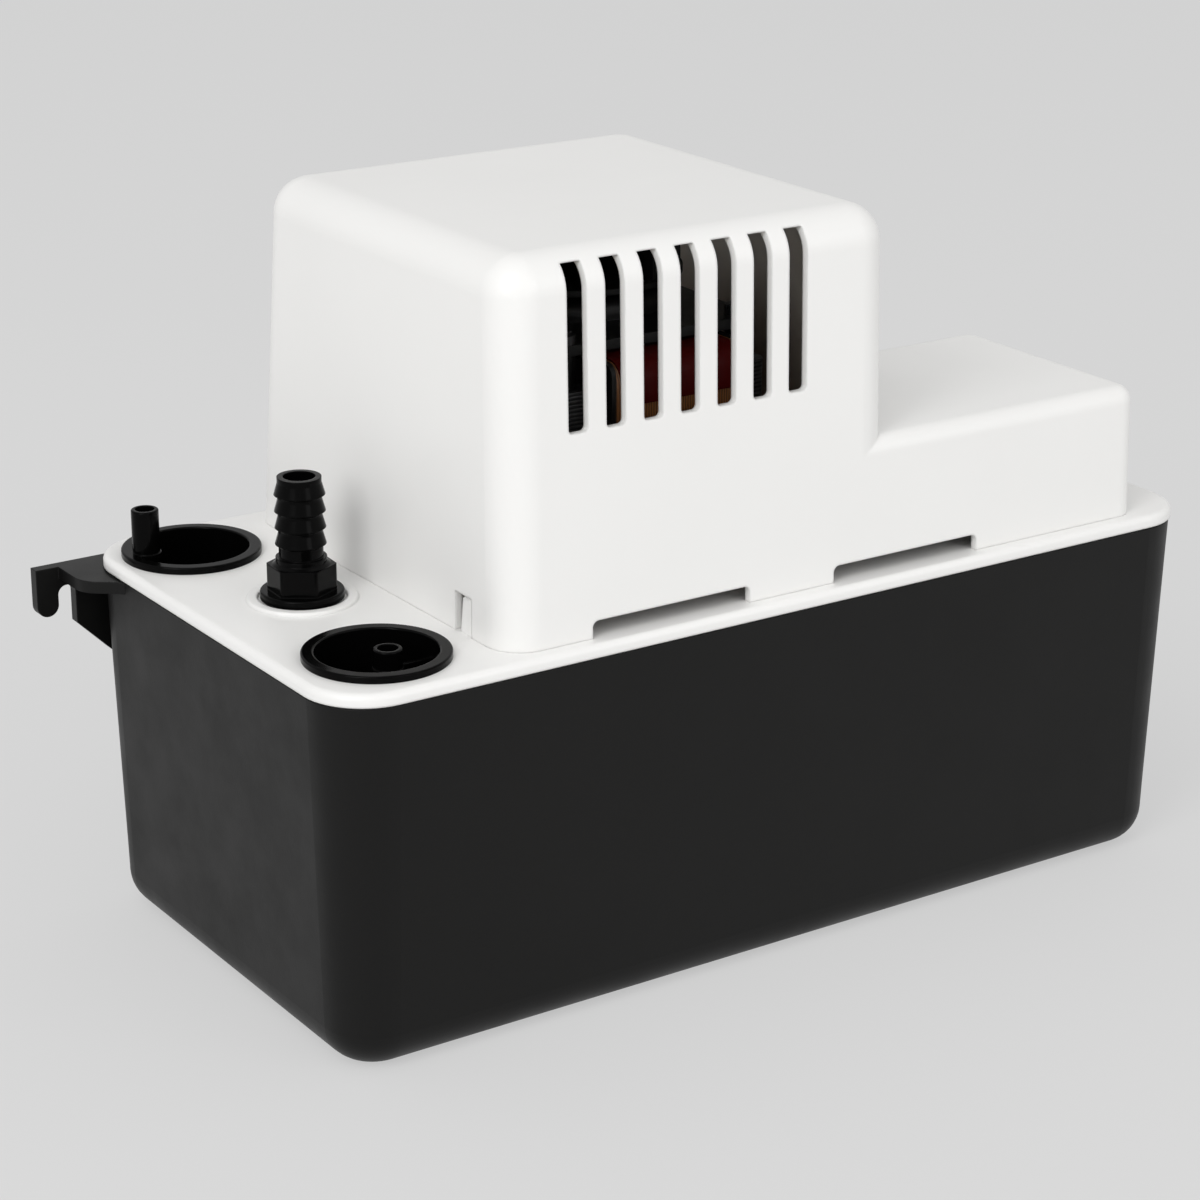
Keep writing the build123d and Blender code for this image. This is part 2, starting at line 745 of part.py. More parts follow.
# bushing that grips the saddle and shows a collar behind the low box
bushing_start = cord_saddle_y - cord_saddle_thickness / 2 - bushing_collar
bushing_end = box_back + bushing_collar_gap + bushing_collar
with BuildPart() as cord_bushing:
    bushing_plane = Plane(origin=(cord_x, bushing_start, cord_z), x_dir=(1, 0, 0), z_dir=(0, 1, 0))
    with BuildSketch(bushing_plane):
        Circle(cord_barrel_radius + bushing_collar_width)
    extrude(amount=bushing_collar - push_clearance)
    with BuildSketch(bushing_plane.offset(bushing_end - bushing_start - bushing_collar)):
        Circle(cord_barrel_radius + bushing_collar_width)
    extrude(amount=bushing_collar)
    with BuildSketch(bushing_plane):
        Circle(cord_barrel_radius)
    extrude(amount=bushing_end - bushing_start)
    with BuildSketch(bushing_plane):
        Circle(cord_bore / 2)
    extrude(amount=bushing_end - bushing_start, mode=Mode.SUBTRACT)
finish(cord_bushing, "cord_bushing")

# ---------------------------------------------------------------- motor, fixed pieces
boss_bottom = post_top - boss_drop
lower_boss_top = boss_bottom + bush_length + 2 * bush_recess
stack_middle_y = (stack_front_y + stack_rear_y) / 2
stack_depth = stack_rear_y - stack_front_y
leg_middle_y = stack_front_y + coil_leg / 2

with BuildPart() as lower_bracket:
    with BuildSketch(Plane.XY.offset(post_top)):
        with Locations((motor_x, (post_front_y + post_rear_y) / 2)):
            RectangleRounded(
                post_spread + 2 * post_radius, post_rear_y - post_front_y + 2 * post_radius, post_radius
            )
        with Locations((motor_x, post_front_y + bracket_slot / 2), (motor_x, post_rear_y)):
            SlotOverall(post_spread - 2 * bracket_slot, bracket_slot, mode=Mode.SUBTRACT)
        with Locations(
            (motor_x - post_spread / 2 + bracket_slot / 2, stack_middle_y),
            (motor_x + post_spread / 2 - bracket_slot / 2, stack_middle_y),
        ):
            SlotOverall(
                post_rear_y - post_front_y - 3 * bracket_slot, bracket_slot, rotation=90, mode=Mode.SUBTRACT
            )
    extrude(amount=bracket_plate)
    with Locations(*[(x, y, post_top) for x, y in post_points]):
        Cylinder(bracket_pillar_radius, stack_bottom - post_top, align=FROM_BASE)
        Cylinder(
            screw_radius + push_clearance, stack_bottom - post_top, align=FROM_BASE, mode=Mode.SUBTRACT
        )
    with Locations((motor_x, 0, boss_bottom)):
        Cylinder(bearing_boss_radius, lower_boss_top - boss_bottom, align=FROM_BASE)
        Cylinder(
            bush_radius + push_clearance, lower_boss_top - boss_bottom, align=FROM_BASE, mode=Mode.SUBTRACT
        )
finish(lower_bracket, "lower_bracket")


def bushing(bottom):
    """Sintered bush for the motor's shaft."""
    with BuildPart() as bush:
        with Locations((motor_x, 0, bottom)):
            Cylinder(bush_radius, bush_length, align=FROM_BASE)
            Cylinder(shaft_radius + running_clearance, bush_length, align=FROM_BASE, mode=Mode.SUBTRACT)
    return bush


lower_bushing = bushing(boss_bottom + bush_recess)
finish(lower_bushing, "lower_bushing")

shading_slots = [
    (motor_x + side * shading_offset, -side * shading_shift + end * shading_pitch / 2)
    for side in (-1, 1)
    for end in (-1, 1)
]
with BuildPart() as stator_core:
    with BuildSketch(Plane.XY.offset(stack_bottom)):
        with Locations((motor_x, stack_middle_y)):
            RectangleRounded(stack_width, stack_depth, stack_corner_radius)
        with Locations((motor_x, stack_front_y + coil_leg + coil_window / 2)):
            Rectangle(coil_window_width, coil_window, mode=Mode.SUBTRACT)
        with Locations((motor_x, 0)):
            Circle(rotor_radius + air_gap, mode=Mode.SUBTRACT)
        with Locations(*post_points):
            Circle(screw_radius + push_clearance, mode=Mode.SUBTRACT)
        # slots for the two shading rings, each through the stack beside the rotor
        with Locations(*shading_slots):
            Rectangle(shading_slot, shading_slot, mode=Mode.SUBTRACT)
    extrude(amount=stack_height)
finish(stator_core, "stator_core")

shading_wire = shading_slot - 2 * (push_clearance + push_clearance)
ring_height = stack_height + 2 * push_clearance
with BuildPart() as shading_rings:
    for side in (-1, 1):
        with BuildSketch(Plane.YZ.offset(motor_x + side * shading_offset - shading_wire / 2)):
            with Locations((-side * shading_shift, stack_middle_z)):
                Rectangle(shading_pitch + shading_wire, ring_height + 2 * shading_wire)
                Rectangle(shading_pitch - shading_wire, ring_height, mode=Mode.SUBTRACT)
        extrude(amount=shading_wire)
finish(shading_rings, "shading_rings")

sleeve_half = (coil_leg / 2 + push_clearance + bobbin_wall, stack_height / 2 + push_clearance + bobbin_wall)
with BuildPart() as bobbin:
    with BuildSketch(Plane.YZ.offset(motor_x - bobbin_length / 2)):
        with Locations((leg_middle_y, stack_middle_z)):
            RectangleRounded(2 * sleeve_half[0], 2 * sleeve_half[1], sleeve_corner)
            Rectangle(
                coil_leg + 2 * push_clearance, stack_height + 2 * push_clearance, mode=Mode.SUBTRACT
            )
    extrude(amount=bobbin_length)
    for x in (motor_x - bobbin_length / 2, motor_x + bobbin_length / 2 - bobbin_wall):
        with BuildSketch(Plane.YZ.offset(x)):
            with Locations((leg_middle_y, stack_middle_z)):
                RectangleRounded(
                    2 * (sleeve_half[0] + winding_build),
                    2 * (sleeve_half[1] + winding_build),
                    bobbin_flange_corner,
                )
                Rectangle(
                    coil_leg + 2 * push_clearance, stack_height + 2 * push_clearance, mode=Mode.SUBTRACT
                )
        extrude(amount=bobbin_wall)
    # terminal pads on the left flange, clear above the stack
    with BuildSketch(Plane.YZ.offset(motor_x - bobbin_length / 2)):
        with Locations((leg_middle_y - terminal_shift, stack_top + terminal_pad / 2 + bobbin_wall)):
            with GridLocations(terminal_pitch, 0, 2, 1):
                Rectangle(terminal_pad, terminal_pad)
    extrude(amount=-terminal_depth)
finish(bobbin, "bobbin")

winding_length = bobbin_length - 2 * bobbin_wall - 2 * push_clearance
wound_half = (
    sleeve_half[0] + winding_build - tape_thickness - push_clearance,
    sleeve_half[1] + winding_build - tape_thickness - push_clearance,
)
with BuildPart() as coil_winding:
    with BuildSketch(Plane.YZ.offset(motor_x - winding_length / 2)):
        with Locations((leg_middle_y, stack_middle_z)):
            RectangleRounded(2 * wound_half[0], 2 * wound_half[1], winding_corner)
            RectangleRounded(
                2 * (sleeve_half[0] + push_clearance),
                2 * (sleeve_half[1] + push_clearance),
                sleeve_corner,
                mode=Mode.SUBTRACT,
            )
    extrude(amount=winding_length)
finish(coil_winding, "coil_winding")

tape_width = winding_length - 2 * tape_side_gap
tape_gap = push_clearance
tape_half = (wound_half[0] + tape_gap + tape_thickness, wound_half[1] + tape_gap + tape_thickness)
with BuildPart() as coil_tape:
    with BuildSketch(Plane.YZ.offset(motor_x - tape_width / 2)):
        with Locations((leg_middle_y, stack_middle_z)):
            RectangleRounded(2 * tape_half[0], 2 * tape_half[1], winding_corner + tape_thickness)
            RectangleRounded(
                2 * (wound_half[0] + tape_gap), 2 * (wound_half[1] + tape_gap), winding_corner,
                mode=Mode.SUBTRACT,
            )
        with Locations((leg_middle_y, stack_middle_z + tape_drop)):
            Rectangle(
                2 * tape_half[0], tape_half[1] + tape_drop,
                align=(Align.CENTER, Align.MAX), mode=Mode.SUBTRACT,
            )
    extrude(amount=tape_width)
finish(coil_tape, "coil_tape")

upper_boss_bottom = upper_plate_bottom - upper_boss_drop
with BuildPart() as upper_bracket:
    with Locations(*[(x, y, stack_top) for x, y in post_points]):
        Cylinder(bracket_pillar_radius, upper_plate_bottom - stack_top, align=FROM_BASE)
    with BuildSketch(Plane.XY.offset(upper_plate_bottom)):
        with Locations((motor_x, (post_front_y + post_rear_y) / 2)):
            RectangleRounded(
                post_spread + 2 * bracket_pillar_radius,
                post_rear_y - post_front_y + 2 * bracket_pillar_radius,
                bracket_pillar_radius,
            )
        with Locations((motor_x, 0)):
            Circle(bell_radius)
    extrude(amount=bracket_plate)
    with Locations((motor_x, 0, upper_plate_bottom)):
        Cylinder(bell_radius, bell_height, align=FROM_BASE)
    fillet(upper_bracket.edges().group_by(Axis.Z)[-1], bell_round)
    with Locations((motor_x, 0, upper_plate_bottom)):
        Cylinder(bell_radius - bell_wall, bell_height - bell_wall, align=FROM_BASE, mode=Mode.SUBTRACT)
    with Locations((motor_x, 0, upper_boss_bottom)):
        Cylinder(bearing_boss_radius, bell_top - upper_boss_bottom, align=FROM_BASE)
        Cylinder(
            bush_radius + push_clearance, bell_top - upper_boss_bottom, align=FROM_BASE, mode=Mode.SUBTRACT
        )
    # cooling slots in the bell's shoulder
    with BuildSketch(Plane.XY.offset(upper_plate_bottom + bracket_plate)):
        with Locations((motor_x, 0)):
            with PolarLocations(bell_slot_radius, bell_slots):
                SlotOverall(bell_slot_length, bell_slot_width, rotation=90)
    extrude(amount=bell_height, mode=Mode.SUBTRACT)
    with Locations(*[(x, y, stack_top) for x, y in post_points]):
        Cylinder(
            screw_radius + push_clearance,
            upper_plate_bottom + bracket_plate - stack_top,
            align=FROM_BASE,
            mode=Mode.SUBTRACT,
        )
finish(upper_bracket, "upper_bracket")

upper_bushing = bushing(bell_top - bush_length - bush_recess)
finish(upper_bushing, "upper_bushing")

motor_screw_top = upper_plate_bottom + bracket_plate
with BuildPart() as motor_screws:
    with Locations(*[(x, y, motor_screw_top) for x, y in post_points]):
        Cylinder(screw_head_radius, screw_head_height, align=FROM_BASE)
        Cylinder(screw_radius - push_clearance, motor_screw_top - deck_top - screw_end_gap, align=FROM_TOP)
    with Locations(*[(x, y, motor_screw_top + screw_head_height) for x, y in post_points]):
        Box(2 * screw_head_radius, driver_slot_width, 2 * driver_slot_depth, mode=Mode.SUBTRACT)
finish(motor_screws, "motor_screws")

# ---------------------------------------------------------------- rotor
impeller_bottom = housing_bottom + impeller_gap
shaft_bottom = impeller_bottom + impeller_cap

with BuildPart() as motor_shaft:
    with Locations((motor_x, 0, shaft_bottom)):
        Cylinder(shaft_radius, shaft_top - shaft_bottom, align=FROM_BASE)
    chamfer(motor_shaft.edges().group_by(Axis.Z)[-1], shaft_chamfer)
finish(motor_shaft, "motor_shaft")


def shaft_ring(outer, bottom, height, inner=shaft_radius + push_clearance):
    """Ring round the shaft, added to the part being built."""
    with Locations((motor_x, 0, bottom)):
        Cylinder(outer, height, align=FROM_BASE)
        Cylinder(inner, height, align=FROM_BASE, mode=Mode.SUBTRACT)


with BuildPart() as rotor_core:
    shaft_ring(rotor_radius, stack_bottom, stack_height)
finish(rotor_core, "rotor_core")

end_ring_radius = rotor_radius - end_ring_inset
with BuildPart() as rotor_end_rings:
    for bottom in (stack_bottom - end_ring_height, stack_top):
        shaft_ring(end_ring_radius, bottom, end_ring_height, end_ring_radius - end_ring_width)
finish(rotor_end_rings, "rotor_end_rings")

with BuildPart() as thrust_washers:
    for bottom in (lower_boss_top + seat_gap, upper_boss_bottom - seat_gap - washer_thickness):
        shaft_ring(washer_radius, bottom, washer_thickness)
finish(thrust_washers, "thrust_washers")

with BuildPart() as slinger_disc:
    shaft_ring(slinger_radius, deck_top + slinger_rise + slinger_hub_height, slinger_thickness)
    shaft_ring(slinger_hub_radius, deck_top + slinger_rise, slinger_hub_height)
finish(slinger_disc, "slinger_disc")

blade_root = fan_hub_radius - 2 * fan_blade_thickness
blade_length = fan_radius - fan_tip_gap - blade_root
with BuildPart() as cooling_fan:
    shaft_ring(fan_hub_radius, fan_bottom, fan_height)
    with Locations((motor_x, 0, fan_bottom)):
        Cylinder(fan_radius, fan_disc, align=FROM_BASE)
    with BuildSketch(Plane.XY.offset(fan_bottom)):
        with Locations((motor_x, 0)):
            with PolarLocations(0, fan_blades):
                with Locations((blade_root + blade_length / 2, 0)):
                    Rectangle(blade_length, fan_blade_thickness, rotation=fan_blade_turn)
    extrude(amount=fan_height - fan_disc)
    with Locations((motor_x, 0, fan_bottom)):
        Cylinder(shaft_radius + push_clearance, fan_height, align=FROM_BASE, mode=Mode.SUBTRACT)
finish(cooling_fan, "cooling_fan")

# ---------------------------------------------------------------- pump
spout_turn = degrees(asin(spout_offset / (motor_x - valve_x)))
flow = (-cos(radians(spout_turn)), sin(radians(spout_turn)), 0)


def volute_plane(z):
    """Horizontal plane on the pump's axis, x along the spout."""
    return Plane(origin=(motor_x, 0, z), x_dir=flow, z_dir=(0, 0, 1))


def volute_outline(inset):
    """Snail outline from four arcs, its radius growing with each quarter turn."""
    def spiral_point(quarters):
        radius = volute_start_radius - inset + volute_growth * quarters
        angle = radians(90 - 90 * quarters)
        return (radius * cos(angle), radius * sin(angle))

    with BuildSketch() as outline:
        with BuildLine():
            for quarter in range(4):
                ThreePointArc(spiral_point(quarter), spiral_point(quarter + 0.5), spiral_point(quarter + 1))
            Line(spiral_point(4), spiral_point(0))
        make_face()
    return outline.sketch


housing_top = housing_bottom + housing_height
column_top = rim_height
spout_z = housing_bottom + spout_rise
with BuildPart() as pump_housing:
    with BuildSketch(volute_plane(housing_bottom)):
        add(volute_outline(0))
    extrude(amount=housing_height)
    spout_plane = Plane(
        origin=tuple(volute_plane(spout_z).from_local_coords(Vector(0, spout_offset, 0))),
        x_dir=(0, 0, 1),
        z_dir=flow,
    )
    with BuildSketch(spout_plane):
        Circle(spout_radius)
    extrude(amount=spout_length)
    with BuildSketch(spout_plane.offset(spout_length)):
        Circle(spigot_radius)
    extrude(amount=spigot_length)
    with Locations((motor_x, 0, column_top)):
        Cylinder(column_radius, column_top - housing_top + housing_wall / 2, align=FROM_TOP)
    with Locations((motor_x, 0, column_top)):
        Cylinder(column_flange_radius, column_flange_thickness, align=FROM_TOP)
    with BuildSketch(volute_plane(housing_bottom)):
        add(volute_outline(housing_wall))
    extrude(amount=housing_height - housing_wall, mode=Mode.SUBTRACT)
    with Locations((motor_x, 0, housing_bottom)):
        Cylinder(
            column_radius - column_wall,
            column_top - housing_bottom,
            align=FROM_BASE,
            mode=Mode.SUBTRACT,
        )
    with Locations((motor_x, 0, column_top)):
        with PolarLocations(column_screw_circle, column_screw_count, start_angle=column_screw_turn):
            Hole(screw_radius, depth=column_flange_thickness)
    with BuildSketch(spout_plane.offset(-column_wall)):
        Circle(spout_bore / 2)
    extrude(amount=column_wall + spout_length + spigot_length, mode=Mode.SUBTRACT)
finish(pump_housing, "pump_housing")

with BuildPart() as volute_cover:
    with BuildSketch(volute_plane(housing_bottom)):
        add(volute_outline(0))
        Circle(pump_eye_radius, mode=Mode.SUBTRACT)
    extrude(amount=-volute_cover_thickness)
    with Locations((motor_x, 0, housing_bottom - volute_cover_thickness)):
        Cylinder(pump_eye_radius + eye_rim, eye_rim, align=FROM_TOP)
        Cylinder(pump_eye_radius, eye_rim, align=FROM_TOP, mode=Mode.SUBTRACT)
    with Locations((motor_x, 0, housing_bottom - volute_cover_thickness)):
        with PolarLocations(strainer_foot_circle, strainer_feet, start_angle=strainer_foot_turn):
            Box(strainer_foot_length, eye_rim, strainer_foot_height, align=FROM_TOP)
finish(volute_cover, "volute_cover")

vane_root = impeller_hub_radius - vane_tip_gap
vane_tip = impeller_radius - vane_tip_gap
vane_middle = (vane_root + vane_tip) / 2
vane_height = impeller_hub_height - impeller_disc
with BuildSketch() as vane_plan:
    with BuildLine():
        vane_outer = ThreePointArc((vane_root, 0), (vane_middle, vane_bow), (vane_tip, vane_bow / 2))
        vane_inner = ThreePointArc(
            (vane_root, -vane_thickness),
            (vane_middle, vane_bow - vane_thickness),
            (vane_tip, vane_bow / 2 - vane_thickness),
        )
        Line(vane_outer @ 0, vane_inner @ 0)
        Line(vane_outer @ 1, vane_inner @ 1)
    make_face()

with BuildPart() as impeller:
    shaft_ring(impeller_hub_radius, impeller_bottom, impeller_hub_height)
    with Locations((motor_x, 0, impeller_bottom + vane_height)):
        Cylinder(impeller_radius, impeller_disc, align=FROM_BASE)
    with BuildSketch(Plane.XY.offset(impeller_bottom)):
        with Locations((motor_x, 0)):
            with PolarLocations(0, impeller_vanes):
                add(vane_plan.sketch)
    extrude(amount=vane_height)
    with Locations((motor_x, 0, impeller_bottom)):
        Cylinder(shaft_radius + push_clearance, impeller_hub_height, align=FROM_BASE, mode=Mode.SUBTRACT)
finish(impeller, "impeller")

screw_length = deck_thickness + column_flange_thickness
with BuildPart() as column_screws:
    with Locations((motor_x, 0, deck_top)):
        with PolarLocations(column_screw_circle, column_screw_count, start_angle=column_screw_turn):
            Cylinder(screw_head_radius, screw_head_height, align=FROM_BASE)
            Cylinder(screw_radius - push_clearance, screw_length, align=FROM_TOP)
    with Locations((motor_x, 0, deck_top + screw_head_height)):
        with PolarLocations(column_screw_circle, column_screw_count, start_angle=column_screw_turn):
            Box(2 * screw_head_radius, driver_slot_width, 2 * driver_slot_depth, mode=Mode.SUBTRACT)
finish(column_screws, "column_screws")

# discharge tube: over the pump's spigot, round one bend, up over the valve's tail
tube_start = spout_plane.origin + Vector(*flow) * (spout_length + seat_gap)
tube_corner = Vector(valve_x, 0, spout_z)
tube_end = Vector(valve_x, 0, neck_bottom - seat_gap)
with BuildPart() as discharge_tube:
    with BuildLine():
        FilletPolyline(tube_start, tube_corner, tube_end, radius=tube_bend_radius)
    with BuildSketch(Plane(origin=tube_start, z_dir=flow)):
        Circle(spigot_radius + push_clearance + tube_wall)
        Circle(spigot_radius + push_clearance, mode=Mode.SUBTRACT)
    sweep()
finish(discharge_tube, "discharge_tube")

# ---------------------------------------------------------------- float
with BuildPart() as float_block:
    with BuildSketch(Plane.XY.offset(float_bottom)):
        with Locations((rod_x, rod_y)):
            RectangleRounded(float_length, float_width, float_corner_radius)
    extrude(amount=float_height)
    fillet(float_block.edges().group_by(Axis.Z)[-1], float_edge_round)
    fillet(float_block.edges().group_by(Axis.Z)[0], float_edge_round)
    with Locations((rod_x, rod_y, float_bottom)):
        Cylinder(
            rod_radius + push_clearance, float_height, align=FROM_BASE, mode=Mode.SUBTRACT
        )
finish(float_block, "float_block")

arm_rest_z = pivot_z - float_travel / 2
collar_gap = collar_play + seat_gap + lever_thickness / 2
rod_bottom = float_bottom - collar_height - rod_end
rod_top = arm_rest_z + collar_gap + collar_height + rod_end
with BuildPart() as float_rod:
    with Locations((rod_x, rod_y, rod_bottom)):
        Cylinder(rod_radius, rod_top - rod_bottom, align=FROM_BASE)
    chamfer(float_rod.edges().group_by(Axis.Z)[-1], rod_chamfer)
finish(float_rod, "float_rod")

# push-on collars: over and under the switch lever, over and under the float
collar_bottoms = (
    float_bottom - collar_height,
    float_bottom + float_height,
    arm_rest_z - collar_gap - collar_height,
    arm_rest_z + collar_gap,
)
with BuildPart() as rod_collars:
    for bottom in collar_bottoms:
        with Locations((rod_x, rod_y, bottom)):
            Cylinder(collar_radius, collar_height, align=FROM_BASE)
            Cylinder(rod_radius + push_clearance, collar_height, align=FROM_BASE, mode=Mode.SUBTRACT)
finish(rod_collars, "rod_collars")

# ---------------------------------------------------------------- switches
plunger_x = pivot_x - plunger_arm
tail_rise = plunger_arm * tan(radians(lever_rest))
half_blade = lever_thickness / 2 / cos(radians(lever_rest))
run_plunger_top = pivot_z + tail_rise - half_blade - seat_gap
pressed_top = pivot_z - tail_rise - half_blade - seat_gap
run_plunger_travel = run_plunger_top - pressed_top
safety_plunger_travel = run_plunger_travel / 2
switch_top = pressed_top - seat_gap
switch_bottom = switch_top - switch_height
switch_right = pivot_x - lever_hub_radius - 2 * seat_gap
switch_left = switch_right - switch_length
switch_side = (switch_thickness + switch_gap) / 2
ear_offset = switch_thickness + switch_gap
switch_holes = [(switch_right - x, switch_bottom + switch_hole_rise) for x in switch_hole_insets]
bracket_back = ear_offset + ear_thickness

base_left = switch_left - bracket_overhang
base_right = pivot_x + 2 * lever_hub_radius
with BuildPart() as switch_bracket:
    with Locations(((base_left + base_right) / 2, rod_y, deck_top)):
        Box(base_right - base_left, 2 * bracket_back, ear_thickness, align=FROM_BASE)
    ear_low_top = switch_top - ear_thickness
    for side in (-1, 1):
        ear_face = rod_y + side * (ear_offset + ear_thickness / 2) + ear_thickness / 2
        with BuildSketch(Plane.XZ.offset(-ear_face)):
            with BuildLine():
                Polyline(
                    (base_left, deck_top),
                    (base_right, deck_top),
                    (pivot_x + ear_tip_half, pivot_z + lever_hub_radius),
                    (pivot_x - ear_tip_half, pivot_z + lever_hub_radius),
                    (pivot_x - 2 * lever_hub_radius, ear_low_top),
                    (base_left, ear_low_top),
                    close=True,
                )
            make_face()
            with Locations((pivot_x, pivot_z)):
                Circle(lever_pin_radius + push_clearance, mode=Mode.SUBTRACT)
            with Locations(*switch_holes):
                Circle(switch_screw_radius + push_clearance, mode=Mode.SUBTRACT)
        extrude(amount=ear_thickness)
finish(switch_bracket, "switch_bracket")


def micro_switch(y):
    """Snap-action switch body with its screw holes, plunger hole and three blade terminals."""
    with BuildPart() as switch:
        with BuildSketch(Plane.XZ.offset(-(y + switch_thickness / 2))):
            with Locations((switch_right - switch_length / 2, (switch_top + switch_bottom) / 2)):
                RectangleRounded(switch_length, switch_height, switch_corner_radius)
            with Locations(*switch_holes):
                Circle(switch_screw_radius + push_clearance, mode=Mode.SUBTRACT)
        extrude(amount=switch_thickness)
        with Locations((plunger_x, y, switch_top)):
            Cylinder(
                plunger_radius + running_clearance, plunger_hole_depth, align=FROM_TOP, mode=Mode.SUBTRACT
            )
        with BuildSketch(Plane.YZ.offset(switch_left)):
            with Locations((y, (switch_bottom + switch_top) / 2)):
                with GridLocations(0, blade_pitch, 1, 3):
                    Rectangle(blade_width, blade_thickness)
        extrude(amount=-blade_reach)
    return switch


run_switch = micro_switch(rod_y - switch_side)
finish(run_switch, "run_switch")
safety_switch = micro_switch(rod_y + switch_side)
finish(safety_switch, "safety_switch")


def plunger(y, top):
    """Switch button that stands in its hole with its top at the given height."""
    with BuildPart() as button:
        with Locations((plunger_x, y, top)):
            Cylinder(plunger_radius, top - switch_top + plunger_foot, align=FROM_TOP)
        fillet(button.edges().group_by(Axis.Z)[-1], plunger_round)
    return button


run_plunger = plunger(rod_y - switch_side, run_plunger_top)
finish(run_plunger, "run_plunger")
safety_plunger = plunger(rod_y + switch_side, pressed_top + safety_plunger_travel)
finish(safety_plunger, "safety_plunger")

screw_face = bracket_back - rod_y
with BuildPart() as switch_screws:
    with BuildSketch(Plane.XZ.offset(screw_face)):
        with Locations(*switch_holes):
            Circle(switch_screw_head_radius)
    extrude(amount=switch_screw_head_height)
    with BuildSketch(Plane.XZ.offset(screw_face)):
        with Locations(*switch_holes):
            Circle(switch_screw_radius)
    extrude(amount=-(2 * bracket_back + screw_tail))
finish(switch_screws, "switch_screws")

with BuildPart() as lever_pin:
    with BuildSketch(Plane.XZ.offset(screw_face)):
        with Locations((pivot_x, pivot_z)):
            Circle(lever_pin_radius + pin_head_width)
    extrude(amount=pin_head_height)
    with BuildSketch(Plane.XZ.offset(screw_face)):
        with Locations((pivot_x, pivot_z)):
            Circle(lever_pin_radius)
    extrude(amount=-(2 * bracket_back + screw_tail))
finish(lever_pin, "lever_pin")

lever_plane = Plane(
    origin=(pivot_x, rod_y, pivot_z),
    x_dir=(cos(radians(lever_rest)), 0, -sin(radians(lever_rest))),
    z_dir=(sin(radians(lever_rest)), 0, cos(radians(lever_rest))),
)
slot_far = lever_reach / cos(radians(lever_rest))
slot_width = 2 * (rod_radius + guide_clearance)
slot_length = slot_width + 2 * (slot_far - lever_reach) + guide_clearance
lever_end = slot_far + slot_width / 2 + lever_arm_end
lever_tail = -plunger_arm - lever_tail_end
arm_half = lever_arm_width / 2
with BuildPart() as switch_lever:
    with BuildSketch(lever_plane.offset(-lever_thickness / 2)):
        with BuildLine():
            Polyline(
                (lever_tail, -lever_width / 2),
                (lever_shoulder, -lever_width / 2),
                (lever_shoulder + lever_taper, -arm_half),
                (lever_end - lever_arm_corner, -arm_half),
                (lever_end, -arm_half + lever_arm_corner),
                (lever_end, arm_half - lever_arm_corner),
                (lever_end - lever_arm_corner, arm_half),
                (lever_shoulder + lever_taper, arm_half),
                (lever_shoulder, lever_width / 2),
                (lever_tail, lever_width / 2),
                close=True,
            )
        make_face()
        with Locations(((slot_far + lever_reach) / 2, 0)):
            SlotOverall(slot_length, slot_width, mode=Mode.SUBTRACT)
    extrude(amount=lever_thickness)
    with BuildSketch(Plane.XZ.offset(-(rod_y + lever_width / 2))):
        with Locations((pivot_x, pivot_z)):
            Circle(lever_hub_radius)
    extrude(amount=lever_width)
    with BuildSketch(Plane.XZ.offset(-(rod_y + lever_width / 2))):
        with Locations((pivot_x, pivot_z)):
            Circle(lever_pin_radius + running_clearance)
    extrude(amount=lever_width, mode=Mode.SUBTRACT)
finish(switch_lever, "switch_lever")
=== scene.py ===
"""Condensate pump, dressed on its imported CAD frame. Metres, same frame as the CAD."""
import json

import bpy
from mathutils import Matrix, Vector

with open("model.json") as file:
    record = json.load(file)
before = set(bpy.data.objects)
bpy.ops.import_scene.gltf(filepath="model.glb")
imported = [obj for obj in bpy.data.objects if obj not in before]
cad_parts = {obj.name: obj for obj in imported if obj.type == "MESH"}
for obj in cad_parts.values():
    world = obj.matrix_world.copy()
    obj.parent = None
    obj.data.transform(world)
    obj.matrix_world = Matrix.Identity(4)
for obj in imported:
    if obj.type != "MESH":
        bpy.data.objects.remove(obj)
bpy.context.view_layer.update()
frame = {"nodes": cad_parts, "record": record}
nodes = frame["nodes"]

# ------------------------------------------------------------------ camera
CAMERA_AT = Vector((-0.4281, -0.6123, 0.3439))
LOOK = Vector((0.52586, 0.77967, -0.33999))
RIGHT = Vector((0.82988, -0.55793, 0.00413))
FOCAL_PIXELS = 3145.8
FRAME_PIXELS = 1200
SENSOR = 36.0               # mm

# ------------------------------------------------------------------ light
WORLD_LIGHT = 0.62
BACKDROP = 0.68             # tone of the floor and world where they are seen
SHADOW_SHARE = 0.28         # how much of its own light and shadow the floor shows
FLOOR_WHITE = 0.80          # the floor's own colour, near the backdrop's tone once lit
FLOOR_MOTTLE = 0.005
FLOOR_HALF = 6.0
LAMPS = (                   # name, place, aim, width, height, watts
    ("key", (-1.5, -0.7, 1.0), (-0.02, 0, 0.1), 0.7, 0.9, 8.8),
    ("top", (-1.1, -0.9, 1.6), (-0.02, 0, 0.1), 0.9, 0.9, 7.4),
    ("front", (0.6, -1.8, 0.9), (0, 0, 0.1), 1.4, 1.2, 7.3),
)

# ------------------------------------------------------------------ moulded plastics
CLOUDS_PER_METRE = 22.0     # mottling of the colour
GLOSS_PER_METRE = 60.0      # patches of uneven gloss
WAVES_PER_METRE = 14.0      # slow waviness of a moulded wall
WAVE_HEIGHT = 0.0004
GLOSS_SPREAD = (-0.05, 0.06)

# ------------------------------------------------------------------ painted shade inside the motor cover
MOTOR_MIDDLE = (-0.025, 0.0, 0.100)
INNER_FACE_REACH = 0.045    # the tall box's inner faces lie further than this from the motor
INNER_FACE_FOOT = 0.105
INNER_SHADE_REACH = (0.062, 0.080)  # the painted shade fades out over these distances from the motor's middle
